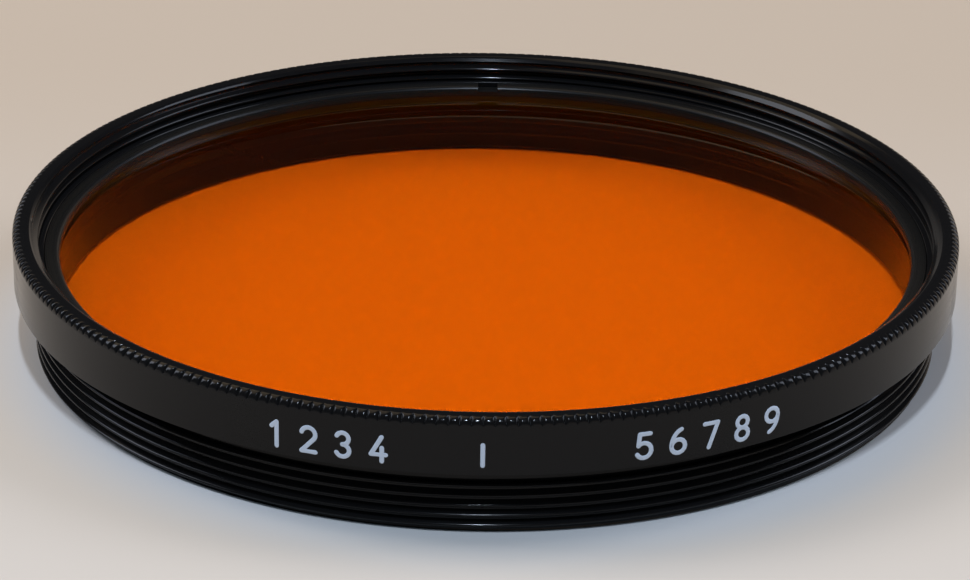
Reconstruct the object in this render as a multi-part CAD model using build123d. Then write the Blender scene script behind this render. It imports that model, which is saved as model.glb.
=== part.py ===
"""Screw-in colour lens filter: a knurled aluminium mount, a coloured glass disc and the ring that holds it.

Millimetres, +Z along the optical axis from the camera side to the subject side. The origin is the
centre of the rear face, so the filter rests on the plane z = 0 with its rear thread down.
"""

from build123d import *
import math
import os

# The filter's own thread, male at the rear and female at the front. Threads are plain cylinders here:
# a male one has its outside diameter, and a female one the diameter of the bore that it is cut in.
thread_d = 67.0
thread_pitch = 0.75
rear_thread_length = 3.7
rear_thread_end_chamfer = 0.4
relief_width = 1.4
relief_depth = 0.5
front_thread_length = 1.9
mouth_chamfer = 0.59

# Outer band, which the fingers hold. Its front corner is rounded off in two facets and knurled across.
band_overhang = 1.5
band_height = 4.15
corner_round = 0.55
knurl_pitch = 0.785
knurl_depth = 0.14
knurl_angle = 90

# Bore for the ring's thread, pocket that centres the glass and seat under it, each a step inwards.
ring_thread_step = 0.5
ring_thread_pitch = 0.5
ring_thread_length = 0.95
pocket_step = 0.33
seat_width = 0.6
rear_opening_chamfer = 0.4

# Glass disc.
glass_thickness = 2.5
glass_bevel = 0.2
glass_side_clearance = 0.05
glass_proud = 0.15

# Threaded ring that presses the glass on its seat, with slots across its face for a spanner.
ring_thread_clearance = 0.04
ring_width = 1.1
ring_thickness = 0.8
ring_inner_chamfer = 0.2
slot_width = 1.6
slot_depth = 0.4
slot_count = 2


def bore_radius(thread_radius, pitch):
    """Radius of the bore in which a metric thread of this radius and pitch is cut."""
    thread_triangle = math.sqrt(3) / 2 * pitch
    return thread_radius - 5 / 8 * thread_triangle


# Radii and heights that follow from the sizes above.
thread_r = thread_d / 2
band_r = thread_r + band_overhang
front_bore_r = bore_radius(thread_r, thread_pitch)
mouth_r = front_bore_r + mouth_chamfer
ring_bore_r = bore_radius(thread_r - ring_thread_step, ring_thread_pitch)
pocket_r = ring_bore_r - pocket_step
glass_r = pocket_r - glass_side_clearance
seat_r = pocket_r - seat_width
shoulder_z = rear_thread_length + relief_width
top_z = shoulder_z + band_height
front_floor_z = top_z - front_thread_length
pocket_top_z = front_floor_z - ring_thread_length
glass_top_z = pocket_top_z + glass_proud
seat_z = glass_top_z - glass_thickness
# How far the middle of the rounded corner stands inside the sharp one, each way.
corner_inset = corner_round * (1 - math.sqrt(0.5))


def turned(points):
    """The solid that a closed profile of (radius, height) points sweeps round the optical axis."""
    with BuildPart() as body:
        with BuildSketch(Plane.XZ):
            with BuildLine():
                Polyline(*points, close=True)
            make_face()
        revolve(axis=Axis.Z)
    return body.part


def mount_blank():
    """The mount as it leaves the lathe, before it is knurled."""
    relief_r = thread_r - relief_depth
    outside = [
        (thread_r - rear_thread_end_chamfer, 0),
        (thread_r, rear_thread_end_chamfer),
        (thread_r, rear_thread_length),
        (relief_r, rear_thread_length),
        (relief_r, shoulder_z),
        (band_r, shoulder_z),
        (band_r, top_z - corner_round),
        (band_r - corner_inset, top_z - corner_inset),
        (band_r - corner_round, top_z),
    ]
    inside = [
        (mouth_r, top_z),
        (front_bore_r, top_z - mouth_chamfer),
        (front_bore_r, front_floor_z),
        (ring_bore_r, front_floor_z),
        (ring_bore_r, pocket_top_z),
        (pocket_r, pocket_top_z),
        (pocket_r, seat_z),
        (seat_r, seat_z),
        (seat_r, rear_opening_chamfer),
        (seat_r + rear_opening_chamfer, 0),
    ]
    return turned(outside + inside)


def knurl_groove():
    """Cutter for one V groove. It runs straight up the corner at 45 degrees and runs out at both ends."""
    deepest = Vector(band_r - corner_inset, 0, top_z - corner_inset) - Vector(1, 0, 1).normalized() * knurl_depth
    run = 3 * corner_round
    opening = 2 * knurl_depth
    half_width = opening * math.tan(math.radians(knurl_angle / 2))
    across = Plane(origin=deepest, x_dir=(0, 1, 0), z_dir=(1, 0, -1))
    with BuildPart() as groove:
        with BuildSketch(across):
            with BuildLine():
                Polyline((0, 0), (half_width, opening), (-half_width, opening), close=True)
            make_face()
        extrude(amount=run / 2, both=True)
    return groove.part


def mount_ring():
    """The finished mount, one piece: rear thread, relief, knurled band, mouth, front thread, pocket and seat."""
    tooth_count = round(2 * math.pi * band_r / knurl_pitch)
    groove = knurl_groove()
    grooves = [Rot(0, 0, 360 / tooth_count * i) * groove for i in range(tooth_count)]
    return mount_blank().cut(*grooves)


def filter_glass():
    """Flat disc of coloured glass with a ground bevel on both rims."""
    with BuildPart() as disc:
        with Locations((0, 0, seat_z)):
            Cylinder(glass_r, glass_thickness, align=(Align.CENTER, Align.CENTER, Align.MIN))
        chamfer(disc.edges().filter_by(GeomType.CIRCLE), glass_bevel)
    return disc.part


def retaining_ring():
    """Thin threaded ring on top of the glass, slotted across its face for a spanner."""
    outer_r = ring_bore_r - ring_thread_clearance
    inner_r = outer_r - ring_width
    ring_top_z = glass_top_z + ring_thickness
    profile = [
        (outer_r, glass_top_z),
        (outer_r, ring_top_z),
        (inner_r + ring_inner_chamfer, ring_top_z),
        (inner_r, ring_top_z - ring_inner_chamfer),
        (inner_r, glass_top_z),
    ]
    with BuildPart() as ring:
        add(turned(profile))
        with PolarLocations(outer_r - ring_width / 2, slot_count, start_angle=90):
            with Locations((0, 0, ring_top_z)):
                Box(2 * ring_width, slot_width, 2 * slot_depth, mode=Mode.SUBTRACT)
    return ring.part


os.makedirs("parts", exist_ok=True)
for name, solid in (
    ("mount_ring", mount_ring()),
    ("filter_glass", filter_glass()),
    ("retaining_ring", retaining_ring()),
):
    export_step(solid, f"parts/{name}.step")
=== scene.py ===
import math

import bmesh
import bpy
from mathutils import Matrix, Vector


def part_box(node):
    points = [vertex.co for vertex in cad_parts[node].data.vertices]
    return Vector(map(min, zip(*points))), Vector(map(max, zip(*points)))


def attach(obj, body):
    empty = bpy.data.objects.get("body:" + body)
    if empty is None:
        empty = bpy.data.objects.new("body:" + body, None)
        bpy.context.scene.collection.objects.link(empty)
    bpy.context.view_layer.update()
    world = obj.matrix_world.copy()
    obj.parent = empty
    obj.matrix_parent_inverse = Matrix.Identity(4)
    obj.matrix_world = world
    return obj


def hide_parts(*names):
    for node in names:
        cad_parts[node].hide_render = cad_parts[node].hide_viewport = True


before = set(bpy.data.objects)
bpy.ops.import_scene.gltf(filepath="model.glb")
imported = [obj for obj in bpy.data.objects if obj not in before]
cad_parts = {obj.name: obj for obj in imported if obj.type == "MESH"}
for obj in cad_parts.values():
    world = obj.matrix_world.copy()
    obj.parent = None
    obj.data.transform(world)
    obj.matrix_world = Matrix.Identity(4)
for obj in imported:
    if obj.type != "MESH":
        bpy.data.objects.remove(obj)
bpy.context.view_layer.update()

mm = 0.001


# Camera. A long lens close in front of the filter, looking down on it by about 24 degrees and tipped
# a little to one side, with the optical axis of the filter in the middle of the picture.
camera_distance = 296.3 * mm
camera_elevation = math.radians(23.83)
camera_roll = math.radians(0.78)
aim_height = 2.9 * mm

camera_data = bpy.data.cameras.new("camera")
camera_data.sensor_width = 36
camera_data.lens = 146.18
camera_data.clip_start = 10 * mm
camera = bpy.data.objects.new("camera", camera_data)
bpy.context.scene.collection.objects.link(camera)

back = Vector((0, -math.cos(camera_elevation), math.sin(camera_elevation)))
level_right = Vector((1, 0, 0))
level_up = back.cross(level_right)
right = math.cos(camera_roll) * level_right + math.sin(camera_roll) * level_up
up = math.cos(camera_roll) * level_up - math.sin(camera_roll) * level_right
camera.matrix_world = Matrix.Translation(back * camera_distance + level_up * aim_height) @ Matrix(
    (right, up, back)
).transposed().to_4x4()
bpy.context.scene.camera = camera
bpy.context.scene.view_settings.view_transform = "Standard"


# Mount. One ring turned from aluminium bar, threaded at both ends, knurled round its front corner and
# anodised black all over. The lathe leaves fine lines round it that show through the oxide.
_, mount_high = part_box("mount_ring")
band_r = mount_high[0]
band_face_r = band_r - 0.012 * mm
top_z = mount_high[2]
column_count = 560
teeth = 280
columns_per_tooth = 8
knurl_columns = teeth * columns_per_tooth

thread_pitch = 0.75 * mm
rear_crest_r = 33.5 * mm
rear_root_r = 33.04 * mm
rear_end_r = 33.1 * mm
rear_thread_top = 3.7 * mm
rear_weld_r = 32.9 * mm
relief_r = 33.0 * mm
shoulder_z = 5.1 * mm

front_crest_r = 33.094 * mm
front_root_r = 33.52 * mm
front_floor_z = 7.35 * mm
front_weld_r = 32.95 * mm
mouth_low_z = top_z - 0.59 * mm
mouth_weld_z = top_z - 0.13 * mm
mouth_weld_r = front_crest_r + mouth_weld_z - mouth_low_z

corner_round = 0.55 * mm
knurl_half_angle = math.radians(45)
narrowest_groove = 0.02 * mm
thread_break = 0.12 * mm
same_point = 0.001 * mm
weld_gap = 0.002 * mm


def activate(piece):
    """Selects one object alone."""
    bpy.ops.object.select_all(action="DESELECT")
    piece.select_set(True)
    bpy.context.view_layer.objects.active = piece


def half_section(name, points):
    """Draws the half section of a turned piece from point to point, each a radius and a height."""
    bpy.ops.object.select_all(action="DESELECT")
    radius, height = points[0]
    bpy.ops.mesh.primitive_plane_add(size=mm, location=(radius, 0, height))
    piece = bpy.context.object
    piece.name = name
    bpy.ops.object.transform_apply(location=True, rotation=False, scale=False)
    bpy.ops.object.mode_set(mode="EDIT")
    bpy.ops.mesh.select_mode(type="VERT")
    bpy.ops.mesh.select_all(action="SELECT")
    bpy.ops.mesh.merge(type="CENTER")
    for (r0, z0), (r1, z1) in zip(points, points[1:]):
        bpy.ops.mesh.extrude_region_move(TRANSFORM_OT_translate={"value": (r1 - r0, 0, z1 - z0)})
    bpy.ops.object.mode_set(mode="OBJECT")
    return piece


def spun(name, points, steps):
    """Turns a half section once round the optical axis."""
    piece = half_section(name, points)
    bpy.ops.object.mode_set(mode="EDIT")
    bpy.ops.mesh.select_all(action="SELECT")
    bpy.ops.mesh.spin(steps=steps, angle=2 * math.pi, center=(0, 0, 0), axis=(0, 0, 1))
    bpy.ops.mesh.select_all(action="SELECT")
    bpy.ops.mesh.remove_doubles(threshold=same_point)
    bpy.ops.object.mode_set(mode="OBJECT")
    return piece


def polar(co):
    """Angle and radius of a point about the optical axis."""
    return math.atan2(co.y, co.x) % (2 * math.pi), math.hypot(co.x, co.y)


def place(co, angle, radius, height):
    """Moves a point to an angle, radius and height."""
    co.x = radius * math.cos(angle)
    co.y = radius * math.sin(angle)
    co.z = height


def arc_points(centre, radius, start, end, count):
    """Points along an arc of the half section, with angles in degrees from the outward direction."""
    points = []
    for i in range(count + 1):
        angle = math.radians(start + (end - start) * i / count)
        points.append((centre[0] + radius * math.cos(angle), centre[1] + radius * math.sin(angle)))
    return points


# One thread from crest to crest, as shares of the pitch and of the height over the root. It has flanks at
# 60 degrees to each other, a flat root and a rounded crest.
thread_form = (
    (0.00, 1.0), (0.03, 1.0), (0.09, 0.95), (0.15, 0.82), (0.42, 0.0),
    (0.58, 0.0), (0.85, 0.82), (0.91, 0.95), (0.97, 1.0), (1.00, 1.0),
)


def thread_height(turn):
    """Height of the thread over its root, from 0 to 1, at a place along the pitch."""
    turn %= 1
    for (s0, h0), (s1, h1) in zip(thread_form, thread_form[1:]):
        if turn <= s1:
            return h0 + (h1 - h0) * (turn - s0) / (s1 - s0)
    return 1.0


def threaded(name, root_r, crest_r, low_z, high_z, limit, bottom_r, top_r):
    """A helical thread between two heights. limit gives the radius that its chamfers leave at a height. Its
    end faces run on to bottom_r and top_r, where the plain turning begins. None leaves an end open."""
    pitches = math.ceil((high_z - low_z) / thread_pitch) + 1
    line = []
    for turn in range(pitches):
        for share, _ in thread_form[:-1]:
            line.append((crest_r, low_z + (turn - 1 + share) * thread_pitch))
    line.append((crest_r, low_z + (pitches - 1) * thread_pitch))
    piece = half_section(name, line)
    screw = piece.modifiers.new("screw", "SCREW")
    screw.axis = "Z"
    screw.angle = 2 * math.pi
    screw.screw_offset = thread_pitch
    screw.steps = column_count
    screw.render_steps = column_count
    bpy.ops.object.modifier_apply(modifier="screw")
    for vertex in piece.data.vertices:
        angle, _ = polar(vertex.co)
        height = min(max(vertex.co.z, low_z), high_z)
        turn = (height - low_z) / thread_pitch - angle / (2 * math.pi)
        radius = root_r + (crest_r - root_r) * thread_height(turn)
        place(vertex.co, angle, limit(radius, height), height)
    bpy.ops.object.mode_set(mode="EDIT")
    bpy.ops.mesh.select_all(action="SELECT")
    bpy.ops.mesh.remove_doubles(threshold=same_point)
    bpy.ops.mesh.dissolve_degenerate(threshold=0.0005 * mm)
    for end_z, end_r in ((low_z, bottom_r), (high_z, top_r)):
        if end_r is None:
            continue
        edges = bmesh.from_edit_mesh(piece.data)
        bpy.ops.mesh.select_all(action="DESELECT")
        for edge in edges.edges:
            edge.select = edge.is_boundary and all(abs(v.co.z - end_z) < same_point for v in edge.verts)
        bpy.ops.mesh.extrude_edges_move(TRANSFORM_OT_translate={"value": (0, 0, 0)})
        edges = bmesh.from_edit_mesh(piece.data)
        for vertex in edges.verts:
            if vertex.select:
                angle, _ = polar(vertex.co)
                place(vertex.co, angle, end_r, end_z)
        bmesh.update_edit_mesh(piece.data)
    bpy.ops.object.mode_set(mode="OBJECT")
    return piece


def rear_limit(radius, height):
    """The rear thread is chamfered at its end and broken at its shoulder side."""
    return min(radius, rear_end_r + height, rear_crest_r - thread_break + rear_thread_top - height)


def front_limit(radius, height):
    """The mouth opens out over the front thread."""
    return max(radius, front_crest_r + height - mouth_low_z)


def knurl(piece):
    """Presses straight V grooves across the rounded corner. Each is deepest half way up and runs out at
    both ends, and the edges of the teeth are left slightly rounded."""
    centre_r = band_r - corner_round
    centre_z = top_z - corner_round
    tooth = 2 * math.pi / teeth
    crest_middle = tooth * band_r / 2
    for vertex in piece.data.vertices:
        angle, radius = polar(vertex.co)
        up_corner = math.atan2(vertex.co.z - centre_z, radius - centre_r)
        on_corner = abs(math.hypot(radius - centre_r, vertex.co.z - centre_z) - corner_round) < weld_gap
        if not on_corner or not -0.01 < up_corner < math.pi / 2 + 0.01:
            continue
        column = round(angle / (2 * math.pi) * knurl_columns)
        groove = round(column / columns_per_tooth)
        step = column - groove * columns_per_tooth
        depth = max(corner_round * (math.cos(up_corner - math.pi / 4) - math.cos(math.pi / 4)), 0)
        half_width = max(depth * math.tan(knurl_half_angle), narrowest_groove)
        outer = 1.25 * half_width
        offsets = (0, 0.78 * half_width, outer, (outer + crest_middle) / 2, crest_middle)
        drops = (1.0, 0.22, 0.03, 0, 0)
        offset = math.copysign(offsets[abs(step)], step)
        drop = drops[abs(step)] * depth * math.sqrt(0.5)
        place(vertex.co, groove * tooth + offset / band_r, radius - drop, vertex.co.z - drop)


def thin_rim(piece, height, radius):
    """Dissolves the columns of one end row that the plain turning beside it doesn't have."""
    activate(piece)
    bpy.ops.object.mode_set(mode="EDIT")
    bpy.ops.mesh.select_mode(type="VERT")
    bpy.ops.mesh.select_all(action="DESELECT")
    rim = bmesh.from_edit_mesh(piece.data)
    kept_every = knurl_columns // column_count
    for vertex in rim.verts:
        angle, r = polar(vertex.co)
        column = round(angle / (2 * math.pi) * knurl_columns)
        on_rim = abs(vertex.co.z - height) < same_point and abs(r - radius) < same_point
        vertex.select = on_rim and column % kept_every != 0
    rim.select_flush_mode()
    bpy.ops.mesh.dissolve_verts()
    bpy.ops.object.mode_set(mode="OBJECT")


def joined(name, pieces):
    """Welds the turned stretches of one piece into a closed mesh."""
    activate(pieces[0])
    for piece in pieces[1:]:
        piece.select_set(True)
    bpy.ops.object.join()
    whole = bpy.context.object
    whole.name = name
    bpy.ops.object.mode_set(mode="EDIT")
    bpy.ops.mesh.select_all(action="SELECT")
    bpy.ops.mesh.remove_doubles(threshold=weld_gap)
    bpy.ops.mesh.normals_make_consistent(inside=False)
    bpy.ops.object.mode_set(mode="OBJECT")
    bpy.ops.object.shade_smooth_by_angle(angle=math.radians(38))
    return whole


land_outer_r = band_r - corner_round - 0.05 * mm
band_row_z = top_z - corner_round - 0.1 * mm
crown = 0.015 * mm
rim_round = 0.12 * mm
land_points = [(mouth_weld_r, mouth_weld_z)]
land_points += arc_points((33.80 * mm, top_z - rim_round - crown), rim_round, 135, 92, 4)
land_points += [
    (34.0 * mm, top_z - crown / 3),
    (34.2 * mm, top_z),
    (land_outer_r, top_z),
]
corner_points = [(land_outer_r, top_z)]
corner_points += arc_points((band_r - corner_round, top_z - corner_round), corner_round, 90, 0, 12)
corner_points += [(band_r, band_row_z)]
band_points = [
    (band_r, band_row_z),
    (band_face_r, band_row_z - 0.05 * mm),
    (band_face_r, shoulder_z + 0.1 * mm),
    (band_r - 0.03 * mm, shoulder_z + 0.03 * mm),
    (band_r - 0.1 * mm, shoulder_z),
    (relief_r + 0.08 * mm, shoulder_z),
    (relief_r, shoulder_z - 0.08 * mm),
    (relief_r, rear_thread_top),
]
seat_r = 31.8 * mm
pocket_r = 32.4 * mm
ring_bore_r = 32.729 * mm
seat_z = 4.05 * mm
pocket_top_z = 6.4 * mm
inside_points = [
    (rear_weld_r, 0),
    (seat_r + 0.42 * mm, 0),
    (seat_r + 0.38 * mm, 0.02 * mm),
    (seat_r + 0.02 * mm, 0.38 * mm),
    (seat_r, 0.42 * mm),
    (seat_r, seat_z),
    (pocket_r, seat_z),
    (pocket_r, pocket_top_z),
    (ring_bore_r, pocket_top_z),
    (ring_bore_r, front_floor_z - 0.03 * mm),
    (ring_bore_r + 0.03 * mm, front_floor_z),
    (front_weld_r, front_floor_z),
]

corner_piece = spun("corner", corner_points, knurl_columns)
knurl(corner_piece)
thin_rim(corner_piece, top_z, land_outer_r)
thin_rim(corner_piece, band_row_z, band_r)
stretches = [
    corner_piece,
    spun("land", land_points, column_count),
    spun("band", band_points, column_count),
    threaded(
        "rear_thread", rear_root_r, rear_crest_r, 0, rear_thread_top,
        rear_limit, rear_weld_r, relief_r,
    ),
    spun("inside", inside_points, column_count),
    threaded(
        "front_thread", front_root_r, front_crest_r, front_floor_z, mouth_weld_z,
        front_limit, front_weld_r, None,
    ),
]
mount = joined("mount", stretches)


def socket(group, kind, name, direction, value=None):
    """Adds one input or output to a node group."""
    made = group.interface.new_socket(name=name, in_out=direction, socket_type=kind)
    if value is not None:
        made.default_value = value


def calculate(nodes, links, operation, *values):
    """A Math node whose inputs are numbers or sockets."""
    node = nodes.new("ShaderNodeMath")
    node.operation = operation
    for slot, value in zip(node.inputs, values):
        if isinstance(value, (int, float)):
            slot.default_value = value
        else:
            links.new(value, slot)
    return node.outputs[0]


def axis_distance(nodes, links, x, y):
    """Distance from the optical axis."""
    squares = [calculate(nodes, links, "MULTIPLY", value, value) for value in (x, y)]
    return calculate(nodes, links, "SQRT", calculate(nodes, links, "ADD", *squares))


def map_range(nodes, links, value, low, high, start=0.0, end=1.0):
    """A smooth Map Range node, which is clamped at both ends."""
    node = nodes.new("ShaderNodeMapRange")
    node.interpolation_type = "SMOOTHSTEP"
    links.new(value, node.inputs["Value"])
    node.inputs["From Min"].default_value = low
    node.inputs["From Max"].default_value = high
    node.inputs["To Min"].default_value = start
    node.inputs["To Max"].default_value = end
    return node.outputs["Result"]


def noise(nodes, links, vector, scale, detail=3.0):
    """A Noise Texture on given coordinates."""
    node = nodes.new("ShaderNodeTexNoise")
    node.inputs["Scale"].default_value = scale
    node.inputs["Detail"].default_value = detail
    links.new(vector, node.inputs["Vector"])
    return node.outputs["Fac"]


def mixed(nodes, links, factor, first, second):
    """A Mix node between two colours, each a triple or a socket."""
    node = nodes.new("ShaderNodeMix")
    node.data_type = "RGBA"
    links.new(factor, node.inputs["Factor"])
    for slot, colour in ((node.inputs["A"], first), (node.inputs["B"], second)):
        if isinstance(colour, tuple):
            slot.default_value = (*colour, 1)
        else:
            links.new(colour, slot)
    return node.outputs["Result"]


def lathe_marks_group():
    """Node group for turned and anodised aluminium: fine lines that run round the optical axis, and the
    matt grain of the oxide."""
    group = bpy.data.node_groups.new("lathe marks", "ShaderNodeTree")
    socket(group, "NodeSocketFloat", "Line Spacing", "INPUT", 0.1 * mm)
    socket(group, "NodeSocketFloat", "Lines", "OUTPUT")
    socket(group, "NodeSocketFloat", "Grain", "OUTPUT")
    nodes = group.nodes
    links = group.links
    given = nodes.new("NodeGroupInput")
    result = nodes.new("NodeGroupOutput")
    coordinates = nodes.new("ShaderNodeTexCoord")
    split = nodes.new("ShaderNodeSeparateXYZ")
    links.new(coordinates.outputs["Object"], split.inputs[0])
    x, y, z = split.outputs
    radius = axis_distance(nodes, links, x, y)
    across = nodes.new("ShaderNodeCombineXYZ")
    links.new(calculate(nodes, links, "DIVIDE", radius, given.outputs["Line Spacing"]), across.inputs[0])
    links.new(calculate(nodes, links, "DIVIDE", z, given.outputs["Line Spacing"]), across.inputs[1])
    links.new(noise(nodes, links, across.outputs[0], 1.0, 2.0), result.inputs["Lines"])
    links.new(noise(nodes, links, coordinates.outputs["Object"], 9000.0, 2.0), result.inputs["Grain"])
    return group


lathe_marks = lathe_marks_group()


def principled(name):
    """A new material and its Principled BSDF."""
    material = bpy.data.materials.new(name)
    material.use_nodes = True
    return material, material.node_tree.nodes["Principled BSDF"]


def speckled(name, scale, darker, lighter):
    """A new material whose colour varies finely between two tones, and its Principled BSDF."""
    material, shader = principled(name)
    nodes = material.node_tree.nodes
    links = material.node_tree.links
    position = nodes.new("ShaderNodeTexCoord")
    speckle = noise(nodes, links, position.outputs["Object"], scale)
    links.new(mixed(nodes, links, speckle, darker, lighter), shader.inputs["Base Color"])
    return material, shader


def anodised(name, colour, roughness, spacing):
    """Anodised aluminium with lathe lines at a spacing."""
    material, shader = principled(name)
    nodes = material.node_tree.nodes
    links = material.node_tree.links
    marks = nodes.new("ShaderNodeGroup")
    marks.node_tree = lathe_marks
    marks.inputs["Line Spacing"].default_value = spacing
    darker = tuple(0.75 * c for c in colour)
    lighter = tuple(1.25 * c for c in colour)
    links.new(mixed(nodes, links, marks.outputs["Grain"], darker, lighter), shader.inputs["Base Color"])
    gloss = map_range(nodes, links, marks.outputs["Lines"], 0.3, 0.7, roughness - 0.04, roughness + 0.05)
    links.new(gloss, shader.inputs["Roughness"])
    shader.inputs["Specular IOR Level"].default_value = 0.15
    bump = nodes.new("ShaderNodeBump")
    bump.inputs["Strength"].default_value = 0.1
    bump.inputs["Distance"].default_value = 0.004 * mm
    links.new(marks.outputs["Lines"], bump.inputs["Height"])
    links.new(bump.outputs["Normal"], shader.inputs["Normal"])
    return material


black_anodised = anodised("black anodised aluminium", (0.006, 0.0058, 0.006), 0.12, 0.08 * mm)
mount.data.materials.clear()
mount.data.materials.append(black_anodised)
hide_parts("mount_ring")
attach(mount, "root")


# Figures. Plain numbers and an index line, cut round the band with a round-nosed engraving tool and
# filled flush with pale paint.
figure_width = 1.0 * mm
stroke_r = 0.165 * mm
figure_advance = 2.45 * mm
figure_foot_z = 5.75 * mm
paint_proud = 0.012 * mm


def figure_arc(cx, cy, rx, ry, start, end, count=14):
    """Points on an arc of a figure, in millimetres from its foot, with angles in degrees."""
    points = []
    for i in range(count + 1):
        angle = math.radians(start + (end - start) * i / count)
        points.append((cx + rx * math.cos(angle), cy + ry * math.sin(angle)))
    return points


# Strokes of each figure, in millimetres, on a body 1 mm wide and 1.77 mm high.
six = [figure_arc(0.5, 0.5, 0.5, 0.5, 0, 360), figure_arc(0.95, 0.5, 0.95, 1.27, 180, 105)]
figures = {
    "1": [[(0.25, 1.42), (0.62, 1.77)], [(0.62, 1.77), (0.62, 0)]],
    "2": [figure_arc(0.5, 1.27, 0.5, 0.5, 165, -42) + [(0, 0)], [(0, 0), (1, 0)]],
    "3": [figure_arc(0.47, 1.34, 0.43, 0.43, 155, -90), figure_arc(0.47, 0.46, 0.47, 0.45, 90, -155)],
    "4": [[(0.72, 1.77), (0, 0.48)], [(0, 0.48), (1, 0.48)], [(0.74, 0.98), (0.74, 0)]],
    "5": [
        [(0.9, 1.77), (0.16, 1.77)], [(0.16, 1.77), (0.08, 0.92)],
        figure_arc(0.46, 0.55, 0.53, 0.55, 135, -150),
    ],
    "6": six,
    "7": [[(0, 1.77), (1, 1.77)], [(1, 1.77), (0.35, 0)]],
    "8": [figure_arc(0.5, 1.34, 0.42, 0.42, 0, 360), figure_arc(0.5, 0.46, 0.48, 0.46, 0, 360)],
    "9": [[(1 - x, 1.77 - y) for x, y in stroke] for stroke in six],
    "|": [[(0.5, 0.1), (0.5, 1.6)]],
}


def add_stroke(curve, points, left):
    """One pass of the engraving tool, with the round ends that it leaves."""
    closed = math.dist(points[0], points[-1]) < 0.001
    path = [(left + x * mm, y * mm, 1.0) for x, y in points]
    if closed:
        path.pop()
    else:
        ends = []
        for (x0, y0, _), (x1, y1, _) in ((path[0], path[1]), (path[-1], path[-2])):
            length = math.hypot(x1 - x0, y1 - y0)
            away = ((x0 - x1) / length, (y0 - y1) / length)
            ends.append([
                (x0 + away[0] * stroke_r * math.sin(a), y0 + away[1] * stroke_r * math.sin(a), math.cos(a))
                for a in (math.radians(d) for d in (30, 55, 75, 89))
            ])
        path = ends[0][::-1] + path + ends[1]
    spline = curve.splines.new("POLY")
    spline.points.add(len(path) - 1)
    spline.use_cyclic_u = closed
    for point, (x, y, width) in zip(spline.points, path):
        point.co = (x, y, 0, 1)
        point.radius = width


def engraved(name, text, middle_angle):
    """A row of figures wrapped round the band, centred on an angle from the front in degrees."""
    curve = bpy.data.curves.new(name, "CURVE")
    curve.dimensions = "3D"
    curve.bevel_depth = stroke_r
    curve.bevel_resolution = 3
    curve.use_fill_caps = True
    width = figure_advance * (len(text) - 1) + figure_width
    for i, figure in enumerate(text):
        for points in figures[figure]:
            add_stroke(curve, points, i * figure_advance - width / 2)
    row = bpy.data.objects.new(name, curve)
    bpy.context.scene.collection.objects.link(row)
    activate(row)
    bpy.ops.object.convert(target="MESH")
    row = bpy.context.object
    middle = math.radians(-90 + middle_angle)
    for vertex in row.data.vertices:
        proud = paint_proud * vertex.co.z / stroke_r
        place(vertex.co, middle + vertex.co.x / band_r, band_face_r + proud, figure_foot_z + vertex.co.y)
    bpy.ops.object.shade_smooth()
    return row


paint, paint_shader = speckled("engraving paint", 2500.0, (0.50, 0.57, 0.67), (0.58, 0.65, 0.76))
paint_shader.inputs["Roughness"].default_value = 0.55

for name, text, middle_angle in (
    ("figures_left", "1234", -17.5),
    ("figures_right", "56789", 26),
    ("index", "|", 0),
):
    row = engraved(name, text, middle_angle)
    row.data.materials.append(paint)
    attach(row, "root")


# Glass. A flat disc of orange glass, dyed through and polished on both faces. Its ground rim is blacked
# against stray light. It drops into the mount from the front and rests on the seat.
glass_low, glass_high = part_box("filter_glass")
glass_r = glass_high[0]
glass_bevel = 0.2 * mm

bpy.ops.object.select_all(action="DESELECT")
bpy.ops.mesh.primitive_cylinder_add(
    vertices=512, radius=glass_r, depth=glass_high[2] - glass_low[2], end_fill_type="NGON",
    location=(0, 0, (glass_high[2] + glass_low[2]) / 2),
)
glass = bpy.context.object
glass.name = "glass"
bpy.ops.object.transform_apply(location=True, rotation=False, scale=False)
bpy.ops.object.mode_set(mode="EDIT")
bpy.ops.mesh.select_mode(type="EDGE")
bpy.ops.mesh.select_all(action="DESELECT")
rims = bmesh.from_edit_mesh(glass.data)
for edge in rims.edges:
    edge.select = abs(edge.verts[0].co.z - edge.verts[1].co.z) < same_point
bpy.ops.mesh.bevel(offset=glass_bevel, segments=2, profile=0.5)
bpy.ops.object.mode_set(mode="OBJECT")
bpy.ops.object.shade_smooth_by_angle(angle=math.radians(20))

orange_glass, glass_shader = principled("orange glass")
glass_shader.inputs["Base Color"].default_value = (0.80, 0.175, 0.0, 1)
glass_shader.inputs["Roughness"].default_value = 0.0
glass_shader.inputs["IOR"].default_value = 1.52
glass_shader.inputs["Transmission Weight"].default_value = 1.0
glass_shader.inputs["Specular IOR Level"].default_value = 0.2
glass_nodes = orange_glass.node_tree.nodes
glass_links = orange_glass.node_tree.links
lamp_light = glass_nodes.new("ShaderNodeBsdfTransparent")
lamp_light.inputs["Color"].default_value = (1.0, 0.98, 0.95, 1)
light_path = glass_nodes.new("ShaderNodeLightPath")
glass_mix = glass_nodes.new("ShaderNodeMixShader")
glass_output = glass_nodes["Material Output"]
glass_links.new(light_path.outputs["Is Shadow Ray"], glass_mix.inputs[0])
glass_links.new(glass_shader.outputs[0], glass_mix.inputs[1])
glass_links.new(lamp_light.outputs[0], glass_mix.inputs[2])
glass_links.new(glass_mix.outputs[0], glass_output.inputs["Surface"])
glass.data.materials.clear()
glass.data.materials.append(orange_glass)

blacked_rim, rim_shader = speckled("blacked glass rim", 1500.0, (0.010, 0.005, 0.003), (0.020, 0.009, 0.005))
rim_shader.inputs["Roughness"].default_value = 0.6
rim_shader.inputs["Specular IOR Level"].default_value = 0.3
glass.data.materials.append(blacked_rim)
for face in glass.data.polygons:
    face.material_index = 1 if abs(face.normal.z) < 0.99 else 0
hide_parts("filter_glass")
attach(glass, "root")


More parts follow.
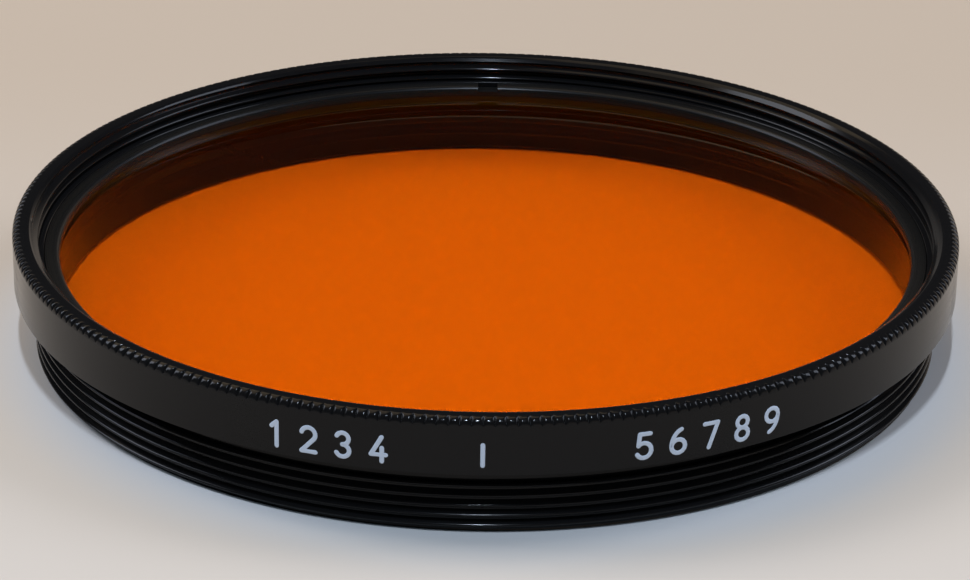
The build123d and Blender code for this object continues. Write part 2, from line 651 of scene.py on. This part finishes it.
# Retaining ring. A thin threaded ring, turned and anodised like the mount, screwed down on the glass
# with a spanner that fits the two slots in its face.
ring_low, ring_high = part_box("retaining_ring")
ring_outer_r = ring_high[0]
ring_inner_r = ring_outer_r - 1.1 * mm
ring_break = 0.04 * mm
slot_width = 1.6 * mm
slot_depth = 0.4 * mm
slot_reach = 3 * mm
ring = spun(
    "retaining_ring_finish",
    [
        (ring_inner_r, ring_low[2]),
        (ring_outer_r, ring_low[2]),
        (ring_outer_r, ring_high[2] - ring_break),
        (ring_outer_r - ring_break, ring_high[2]),
        (ring_inner_r + 0.22 * mm, ring_high[2]),
        (ring_inner_r + 0.17 * mm, ring_high[2] - 0.02 * mm),
        (ring_inner_r + 0.02 * mm, ring_high[2] - 0.18 * mm),
        (ring_inner_r, ring_high[2] - 0.22 * mm),
        (ring_inner_r, ring_low[2]),
    ],
    column_count,
)
bpy.ops.object.mode_set(mode="EDIT")
bpy.ops.mesh.select_all(action="SELECT")
bpy.ops.mesh.normals_make_consistent(inside=False)
bpy.ops.object.mode_set(mode="OBJECT")
for side in (-1, 1):
    bpy.ops.object.select_all(action="DESELECT")
    slot_y = side * (ring_outer_r + ring_inner_r) / 2
    bpy.ops.mesh.primitive_cube_add(size=1, location=(0, slot_y, ring_high[2]))
    cutter = bpy.context.object
    cutter.scale = (slot_width, slot_reach, 2 * slot_depth)
    bpy.ops.object.transform_apply(location=False, rotation=False, scale=True)
    activate(ring)
    cut = ring.modifiers.new("slot", "BOOLEAN")
    cut.operation = "DIFFERENCE"
    cut.solver = "EXACT"
    cut.object = cutter
    bpy.ops.object.modifier_apply(modifier="slot")
    bpy.data.objects.remove(cutter)
activate(ring)
bpy.ops.object.shade_smooth_by_angle(angle=math.radians(35))
ring.data.materials.clear()
ring.data.materials.append(anodised("matt black aluminium", (0.006, 0.006, 0.006), 0.3, 0.06 * mm))
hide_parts("retaining_ring")
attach(ring, "root")


# Table. A plain pale surface, with painted shade that makes it a little warmer and darker behind the filter.
# Under the filter a paler neutral grey is painted, painted light that stands in for light through the glass
# and gives it all of its colour.
bpy.ops.object.select_all(action="DESELECT")
bpy.ops.mesh.primitive_plane_add(size=1.1, location=(0, 0, -0.02 * mm))
table = bpy.context.object
table.name = "table"
table_paint, table_shader = principled("pale table")
table_shader.inputs["Roughness"].default_value = 0.8
table_shader.inputs["Specular IOR Level"].default_value = 0.1
table_nodes = table_paint.node_tree.nodes
table_links = table_paint.node_tree.links
table_place = table_nodes.new("ShaderNodeTexCoord")
table_split = table_nodes.new("ShaderNodeSeparateXYZ")
table_links.new(table_place.outputs["Object"], table_split.inputs[0])
table_x, table_y, _ = table_split.outputs
# Painted shade: the table colour is darker and warmer towards the back, for how the light falls across it.
behind = map_range(table_nodes, table_links, table_y, -50 * mm, 60 * mm)
table_tone_with_painted_shade = mixed(table_nodes, table_links, behind, (0.585, 0.53, 0.465), (0.49, 0.40, 0.31))
table_r = axis_distance(table_nodes, table_links, table_x, table_y)
# Painted light: a paler neutral grey under the glass stands in for the light that comes through it and sets
# how bright the glass looks.
painted_light_under_glass = map_range(table_nodes, table_links, table_r, 31 * mm, 40 * mm, 1.0, 0.0)
table_links.new(
    mixed(table_nodes, table_links, painted_light_under_glass, table_tone_with_painted_shade, (0.56, 0.56, 0.56)), table_shader.inputs["Base Color"]
)
table.data.materials.append(table_paint)


# Lamps. A warm soft light above, cool ones on both sides, a small one high in front, and a room whose
# ceiling is cool in front and warm behind. The filter mirrors nothing of the room but a pale wall.
def lamp(name, direction, distance, width, height, power, colour):
    """A rectangular lamp in a direction from the filter, turned to face it."""
    data = bpy.data.lights.new(name, "AREA")
    data.shape = "RECTANGLE"
    data.size = width
    data.size_y = height
    data.energy = power
    data.color = colour
    made = bpy.data.objects.new(name, data)
    made.location = Vector(direction).normalized() * distance
    made.rotation_euler = Vector(direction).to_track_quat("Z", "Y").to_euler()
    bpy.context.scene.collection.objects.link(made)


lamp("behind", (-0.4, 0.45, 1.1), 1.0, 1.0, 0.8, 3.5, (1.0, 0.78, 0.5))
lamp("front", (-0.011, -0.44, 0.898), 1.0, 0.022, 0.16, 5.5, (0.70, 0.82, 1.0))
lamp("left", (-0.75, 0.2, 0.63), 0.9, 0.35, 0.5, 3.4, (0.75, 0.83, 1.0))
lamp("right", (0.75, 0.2, 0.63), 0.9, 0.35, 0.5, 3.4, (0.75, 0.83, 1.0))

world = bpy.data.worlds.new("room")
bpy.context.scene.world = world
world.use_nodes = True
world_nodes = world.node_tree.nodes
world_links = world.node_tree.links
room = world_nodes["Background"]
facing = world_nodes.new("ShaderNodeTexCoord")
facing_split = world_nodes.new("ShaderNodeSeparateXYZ")
world_links.new(facing.outputs["Generated"], facing_split.inputs[0])
facing_x, facing_y, facing_z = facing_split.outputs


# What the camera, the metal and the glass see: a pale wall, brighter to the right, under a dark ceiling.
right_share = map_range(world_nodes, world_links, facing_x, -0.3, 0.5)
wall = mixed(world_nodes, world_links, right_share, (0.16, 0.15, 0.14), (0.5, 0.42, 0.35))
above_wall = map_range(world_nodes, world_links, facing_z, 0.12, 0.36)
seen = mixed(world_nodes, world_links, above_wall, wall, (0.008, 0.008, 0.008))

# What lights dull surfaces: a soft ceiling, cool in front and warm behind, that fades out towards the wall.
back_share = map_range(world_nodes, world_links, facing_y, -0.4, 0.4)
ceiling = mixed(world_nodes, world_links, back_share, (0.21, 0.28, 0.35), (0.20, 0.12, 0.05))
fade = map_range(world_nodes, world_links, facing_z, 0.1, 0.8, 0.85, 0.0)
lit = mixed(world_nodes, world_links, fade, ceiling, (0.0, 0.0, 0.0))

ray = world_nodes.new("ShaderNodeLightPath")
mirrored = calculate(
    world_nodes, world_links, "ADD", ray.outputs["Is Glossy Ray"], ray.outputs["Is Transmission Ray"]
)
mirrored = calculate(world_nodes, world_links, "ADD", ray.outputs["Is Camera Ray"], mirrored)
world_links.new(mixed(world_nodes, world_links, mirrored, lit, seen), room.inputs["Color"])
room.inputs["Strength"].default_value = 1.3
